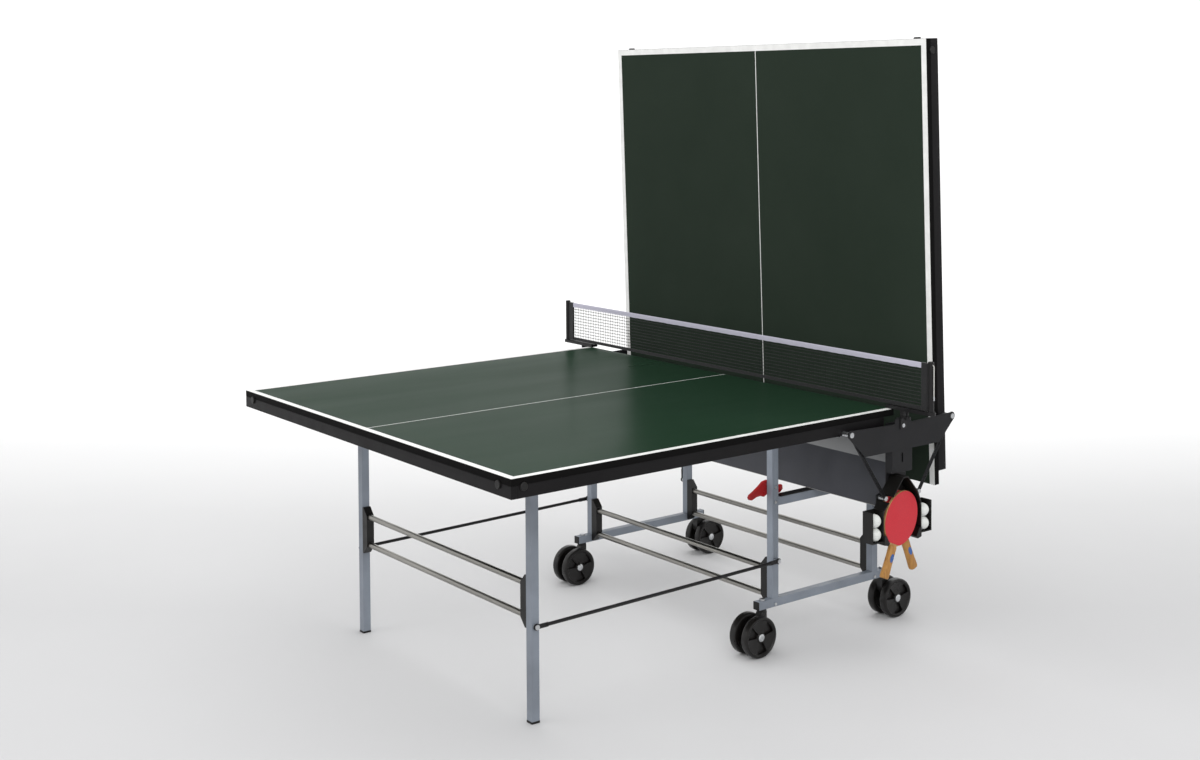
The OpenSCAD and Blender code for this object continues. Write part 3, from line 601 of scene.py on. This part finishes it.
def make_net():
    """Square mesh of knotted thread, with a dark band below and a sleeve at each post."""
    left, right = NET_LOW.y, NET_HIGH.y
    bottom = NET_LOW.z + BAND_H * 0.8
    top = TAPE_LOW.z + 0.003
    columns = round((right - left - 2 * SLEEVE_W) / CELL)
    rows = round((top - bottom) / CELL)
    first = left + SLEEVE_W
    across = (right - left - 2 * SLEEVE_W) / columns
    up = (top - bottom) / rows
    mesh = bmesh.new()
    for i in range(columns + 1):
        y = first + i * across
        add_thread(mesh, Vector((NET_X, y, bottom)), Vector((NET_X, y, top)), THREAD_R)
    for j in range(rows + 1):
        z = bottom + j * up
        add_thread(mesh, Vector((NET_X, first, z)), Vector((NET_X, right - SLEEVE_W, z)),
                   THREAD_R)
    knot = THREAD_R * 1.7
    for i in range(columns + 1):
        for j in range(rows + 1):
            at = Vector((NET_X, first + i * across, bottom + j * up))
            add_box(mesh, at - Vector((knot,) * 3), at + Vector((knot,) * 3))
    net = add_piece("net_mesh", mesh, NET_CORD, UNDERCARRIAGE, smooth_angle=0)
    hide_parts("net")
    edge = bmesh.new()
    add_box(edge, (NET_X - BAND_HALF, left + 0.0005, NET_LOW.z),
            (NET_X + BAND_HALF, right - 0.0005, NET_LOW.z + BAND_H))
    for side in SIDES:
        outer = side * (right - 0.0005)
        inner = side * (right - SLEEVE_W)
        add_box(edge, (NET_X - SLEEVE_HALF, min(inner, outer), NET_LOW.z + 0.0005),
                (NET_X + SLEEVE_HALF, max(inner, outer), TAPE_HIGH.z + 0.0006))
    band = add_piece("net_edging", edge, NET_BAND, UNDERCARRIAGE, bevel=0.0004)


def make_tape():
    """White tape folded over the net's top cord, as one thin folded strip."""
    thick = 0.0007
    width = TAPE_HIGH.x - TAPE_LOW.x
    half = width / 2
    steps = 10
    height = TAPE_HIGH.z - TAPE_LOW.z

    def profile(offset):
        reach = half - offset
        arc = [(reach * math.cos(math.pi * k / steps),
                height - half + reach * math.sin(math.pi * k / steps))
               for k in range(steps + 1)]
        return [(reach, 0.0)] + arc + [(-reach, 0.0)]

    outline = profile(0.0) + list(reversed(profile(thick)))
    mesh = bmesh.new()
    count = 180
    rings = []
    for k in range(count + 1):
        y = TAPE_LOW.y + (TAPE_HIGH.y - TAPE_LOW.y) * k / count
        ripple = 0.00035 * math.sin(k * 1.7) + 0.00025 * math.sin(k * 0.61 + 1)
        rings.append([Vector((NET_X + x * (1 + 0.05 * math.sin(k * 0.9)), y,
                              TAPE_LOW.z + z + ripple * (1 - z / height)))
                      for x, z in outline])
    add_loft(mesh, rings)
    tape = add_piece("net_top_tape", mesh, TAPE, UNDERCARRIAGE, smooth_angle=50)
    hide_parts("net_tape")


CORD_R = 0.0016
HOOK_R = 0.0022
CORD_BEND = 0.007
CORD_Z = TABLE_H + NET_H - 0.0026
CORD_LOW = TABLE_H + 0.058
POST_Y = 0.904
POST_R = 0.009
CORD_OUT = POST_Y + POST_R + 0.0004 + HOOK_R


def make_cord():
    """The tension cord: through the near post, over its outer side and down to a hook."""
    start = -(POST_Y - POST_R - 0.001)
    turn_y = -(CORD_OUT - CORD_BEND)
    points = [(start + (turn_y - start) * k / 4, CORD_Z) for k in range(5)]
    for k in range(1, 9):
        angle = math.radians(90 * k / 8)
        points.append((turn_y - CORD_BEND * math.sin(angle),
                       CORD_Z - CORD_BEND + CORD_BEND * math.cos(angle)))
    drop = CORD_Z - CORD_BEND - CORD_LOW
    points += [(-CORD_OUT, CORD_Z - CORD_BEND - drop * k / 8) for k in range(1, 9)]
    data = bpy.data.curves.new("tension_cord", "CURVE")
    data.dimensions = "3D"
    data.bevel_depth = CORD_R
    data.bevel_resolution = 4
    spline = data.splines.new("POLY")
    spline.points.add(len(points) - 1)
    for point, (y, z) in zip(spline.points, points):
        point.co = (NET_X, y, z, 1)
    data.materials.append(BRAID)
    cord = bpy.data.objects.new("tension_cord", data)
    bpy.context.scene.collection.objects.link(cord)
    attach(cord, UNDERCARRIAGE)
    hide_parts("net_cord")
    hook = bmesh.new()
    add_lathe(hook, [(0, 0), (0.0019, 0), (0.0022, 0.002), (0.0022, 0.010), (0.0018, 0.013),
                     (0, 0.013)], 16, (NET_X, -CORD_OUT, CORD_LOW - 0.0125))
    add_lathe(hook, [(0.0019, -0.0008), (0.0025, -0.0008), (0.0025, 0.0008), (0.0019, 0.0008)],
              20, (NET_X, -CORD_OUT, CORD_LOW - 0.006))
    fitting = add_piece("cord_hook", hook, ZINC, UNDERCARRIAGE)


make_net()
make_tape()
make_cord()

# ---------- Caster wheels ----------

WHEEL_R = 0.0625
POCKET_TURNS = (85, 205, 325)
POCKET_HALF = 23
DISC_DEPTH = 0.0036
POCKET_DEPTH = 0.0125


def wheel_profile(inner, outer, dish):
    """Tyre with round shoulders, a raised rim and a sunk disc, from the fork's side outwards."""
    return [
        (0.004, inner + 0.002), (0.014, inner + 0.002), (0.016, inner + 0.005),
        (0.046, inner + 0.005), (0.050, inner), (WHEEL_R - 0.005, inner),
        (WHEEL_R - 0.002, inner + 0.0015), (WHEEL_R - 0.0005, inner + 0.004),
        (WHEEL_R, inner + 0.007), (WHEEL_R, outer - 0.007),
        (WHEEL_R - 0.0005, outer - 0.004), (WHEEL_R - 0.002, outer - 0.0015),
        (WHEEL_R - 0.005, outer), (WHEEL_R - 0.008, outer),
        (WHEEL_R - 0.0095, outer - 0.0012), (WHEEL_R - 0.0105, outer - 0.003),
        (0.0500, outer - 0.0032), (0.0490, outer - dish), (0.0175, outer - dish),
        (0.0160, outer - 0.0028), (0.0145, outer - 0.001), (0.004, outer - 0.001),
    ]


def add_wheel(mesh, centre, turn, inner, outer):
    """A wheel with three pockets sunk into its disc, each between two lines from the hub."""
    place = Matrix.Translation(centre) @ turn
    stops = {float(a): DISC_DEPTH for a in range(0, 360, 5)}
    for middle in POCKET_TURNS:
        for a in range(0, 360, 5):
            if abs((a - middle + 180) % 360 - 180) < POCKET_HALF:
                stops[float(a)] = POCKET_DEPTH
        for side in SIDES:
            edge = middle + side * POCKET_HALF
            stops[edge % 360] = DISC_DEPTH
            stops[(edge - side * 0.8) % 360] = POCKET_DEPTH
    rings = []
    for degrees, dish in sorted(stops.items()):
        angle = math.radians(degrees)
        rings.append([mesh.verts.new(place @ Vector((r * math.cos(angle),
                                                     r * math.sin(angle), z)))
                      for r, z in wheel_profile(inner, outer, dish)])
    for here, after in zip(rings, rings[1:] + rings[:1]):
        for i in range(len(here)):
            j = (i + 1) % len(here)
            mesh.faces.new([here[i], after[i], after[j], here[j]])


def make_wheels(i):
    low, high = (Vector(c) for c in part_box(f"caster_wheels_{i}"))
    centre = (low + high) / 2
    inner, outer = 0.013, 0.040
    mesh = bmesh.new()
    upright = Matrix.Rotation(math.radians(-90), 4, "X")
    for side in SIDES:
        turn = Matrix.Diagonal((1, side, 1, 1)) @ upright
        add_wheel(mesh, centre, turn, inner, outer)
    wheels = add_piece(f"wheels_{i}", mesh, TYRE, f"wheel_pair_{i}",
                       smooth_angle=28)
    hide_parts(f"caster_wheels_{i}")
    caps = bmesh.new()
    cap = [(0, 0), (0.0115, 0), (0.0115, 0.0012), (0.0095, 0.0028), (0.006, 0.0036), (0, 0.0038)]
    for side in SIDES:
        turn = Matrix.Diagonal((1, side, 1, 1)) @ upright
        add_lathe(caps, cap, 32, centre + Vector((0, side * (outer - 0.0018), 0)), turn)
    add_lathe(caps, [(0, -outer), (0.004, -outer), (0.004, outer), (0, outer)], 16, centre,
              upright)
    add_piece(f"hub_caps_{i}", caps, ZINC, f"wheel_pair_{i}")


for i in FOUR:
    make_wheels(i)

# ---------- Bats ----------

BLADE_W, BLADE_L, BLADE_T = 0.136, 0.168, 0.006
RUBBER_T = 0.002
SPONGE_T = 0.0012
GRIP_W, GRIP_T, GRIP_L = 0.028, 0.022, 0.100
BLADE_Z = TABLE_H - 0.320
HOLDER_SHIFT = 0.014
BLADE_OFF = 0.004
BAT_TILT = math.radians(23)
BLADE_Y = {"rear": 0.7825, "front": 0.8015}


def blade_outline(shrink=0.0, steps=72):
    """The blade's edge as (x, z), from its middle; shrink moves it inwards."""
    points = []
    for k in range(steps):
        angle = 2 * math.pi * k / steps
        squeeze = 1 - 0.22 * math.sin(angle) ** 4 if math.sin(angle) < 0 else 1
        points.append(((BLADE_W / 2 - shrink) * math.cos(angle) * squeeze,
                       (BLADE_L / 2 - shrink) * math.sin(angle)))
    return points


def rubber_outline(shrink):
    """The blade's edge, cut straight above the handle."""
    cut = -BLADE_L / 2 + 0.008
    return [(x, max(z, cut)) for x, z in blade_outline(shrink)]


def grip_ring(z, width, thick, steps=32):
    """A rounded cross-section of the handle."""
    ring = []
    for k in range(steps):
        angle = 2 * math.pi * k / steps
        c, s = math.cos(angle), math.sin(angle)
        ring.append(Vector((width / 2 * math.copysign(abs(c) ** 0.7, c),
                            thick / 2 * math.copysign(abs(s) ** 0.7, s), z)))
    return ring


RED_SHEET = (212, 40, 54)
BLACK_SHEET = (28, 27, 27)


def make_bat(which):
    """A bat with red rubber on the face towards -Y and black rubber on the other."""
    tilt = BAT_TILT if which == "front" else -BAT_TILT
    across = -BLADE_OFF if which == "front" else BLADE_OFF
    place = (Matrix.Translation((NET_X - HOLDER_SHIFT + across, -BLADE_Y[which], BLADE_Z))
             @ Matrix.Rotation(tilt, 4, "Y"))
    body = which + "_bat"
    blade = bmesh.new()
    add_prism(blade, blade_outline(), -BLADE_T / 2, BLADE_T / 2)
    wood = add_piece(which + "_blade", blade,
                     bat_wood(which + "_blade_wood", (196, 158, 108), (150, 108, 62), tilt),
                     body, bevel=0.0008, place=place)
    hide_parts("bat_" + which)
    faces = {-1: RED_SHEET, 1: BLACK_SHEET}
    for side, colour in faces.items():
        label = "outer" if side < 0 else "inner"
        sponge = bmesh.new()
        low, high = sorted((side * BLADE_T / 2, side * (BLADE_T / 2 + SPONGE_T)))
        add_prism(sponge, rubber_outline(0.0008), low, high)
        add_piece(f"{which}_sponge_{label}", sponge,
                  moulded_plastic(f"{which}_sponge_{label}", (205, 150, 90), 0.8, grain=3000),
                  body, place=place)
        sheet = bmesh.new()
        low, high = sorted((side * (BLADE_T / 2 + SPONGE_T), side * (BLADE_T / 2 + RUBBER_T)))
        add_prism(sheet, rubber_outline(0.0006), low, high)
        add_piece(f"{which}_rubber_{label}", sheet,
                  pimple_rubber(f"{which}_rubber_{label}", colour), body,
                  bevel=0.0003, place=place)
    grip = bmesh.new()
    bottom = -BLADE_L / 2 - GRIP_L + 0.004
    rings = []
    for share, width, thick in ((0, 0.80, 0.74), (0.012, 0.93, 0.90), (0.04, 1.0, 0.98),
                                (0.1, 1.0, 1.0), (0.35, 0.93, 0.95), (0.7, 0.88, 0.92),
                                (0.93, 0.93, 0.92), (0.985, 0.90, 0.70), (1.0, 0.84, 0.45)):
        rings.append(grip_ring(bottom + GRIP_L * share, GRIP_W * width, GRIP_T * thick))
    add_loft(grip, rings)
    add_piece(which + "_grip", grip,
              bat_wood(which + "_grip_wood", (176, 128, 66), (128, 84, 38), tilt),
              body, smooth_angle=60, place=place)
    badge = bmesh.new()
    oval = [(0.0068 * math.cos(2 * math.pi * k / 28), 0.013 * math.sin(2 * math.pi * k / 28))
            for k in range(28)]
    add_prism(badge, [(x, z + bottom + GRIP_L * 0.62) for x, z in oval],
              -GRIP_T * 0.47 - 0.0006, -GRIP_T * 0.30)
    add_piece(which + "_badge", badge,
              moulded_plastic(which + "_badge", (58, 92, 150), 0.3), body,
              bevel=0.0003, place=place)


make_bat("front")
make_bat("rear")

# ---------- Floor, backdrop and light ----------


def make_stage():
    """A plain pale floor that runs out into a white backdrop."""
    paint = Paint("floor", (214, 214, 214), 0.65, specular=0.15)
    place = paint.node("Mapping", {"Vector": paint.at,
                                   "Rotation": (0, 0, -CAMERA_YAW)}).outputs[0]
    away = paint.axis(place, "X")
    far = paint.remap(away, 0.2, 4.2)
    grain = paint.remap(paint.noise(0.8, 3.0), 0.3, 0.7)
    near = paint.mix(grain, (206, 206, 207), (209, 209, 210))
    paint.set("Base Color", paint.mix(far, near, (250, 250, 250)))
    paint.set("Emission Color", (1.0, 1.0, 1.0, 1.0))
    paint.set("Emission Strength", paint.remap(away, 1.5, 5.0, 0.0, 0.22))
    paint.uneven(3, 0.6, 0.7)
    mesh = bmesh.new()
    reach, back = 14.0, 7.0
    rise, bend = 12.0, 3.0
    line = [(-reach, 0.0), (back, 0.0)]
    line += [(back + bend * math.sin(math.radians(a)), bend - bend * math.cos(math.radians(a)))
             for a in range(6, 91, 6)]
    line.append((back + bend, rise))
    rows = [[mesh.verts.new((x, y, z)) for y in (-reach * 1.5, reach * 1.5)] for x, z in line]
    for below, above in zip(rows, rows[1:]):
        mesh.faces.new([below[0], below[1], above[1], above[0]])
    mesh.transform(Matrix.Rotation(CAMERA_YAW, 4, "Z"))
    floor = add_piece("floor", mesh, paint.material, None, smooth_angle=60)


def add_light(name, place, aim, size, power):
    data = bpy.data.lights.new(name, "AREA")
    data.shape = "RECTANGLE"
    data.size, data.size_y = size
    data.energy = power
    light = bpy.data.objects.new(name, data)
    light.location = place
    light.rotation_mode = "QUATERNION"
    light.rotation_quaternion = (Vector(aim) - Vector(place)).to_track_quat("-Z", "Y")
    light.visible_camera = False
    light.visible_glossy = name != "fill"
    bpy.context.scene.collection.objects.link(light)


def make_light():
    world = bpy.data.worlds.new("studio")
    world.use_nodes = True
    sky = world.node_tree.nodes["Background"]
    sky.inputs["Color"].default_value = (1.0, 1.0, 1.0, 1)
    sky.inputs["Strength"].default_value = 0.92
    bpy.context.scene.world = world
    add_light("top", (0.0, 0.0, 4.6), (0, 0, 0), (5.0, 5.0), 30)
    add_light("near", (-2.6, -4.6, 3.4), (0.2, 0, 0.7), (3.0, 2.4), 75)
    add_light("left", (-5.0, 1.8, 2.6), (0.2, 0, 0.8), (2.5, 2.5), 28)
    add_light("fill", (-0.1, 0.0, 0.69), (-0.1, 0, 0), (1.0, 1.3), 6.0)
    add_light("back", (3.6, 3.0, 3.6), (0.3, 0, 0.8), (3.0, 2.0), 12)


make_stage()
make_light()
make_camera()
bpy.context.scene.view_settings.view_transform = "Standard"
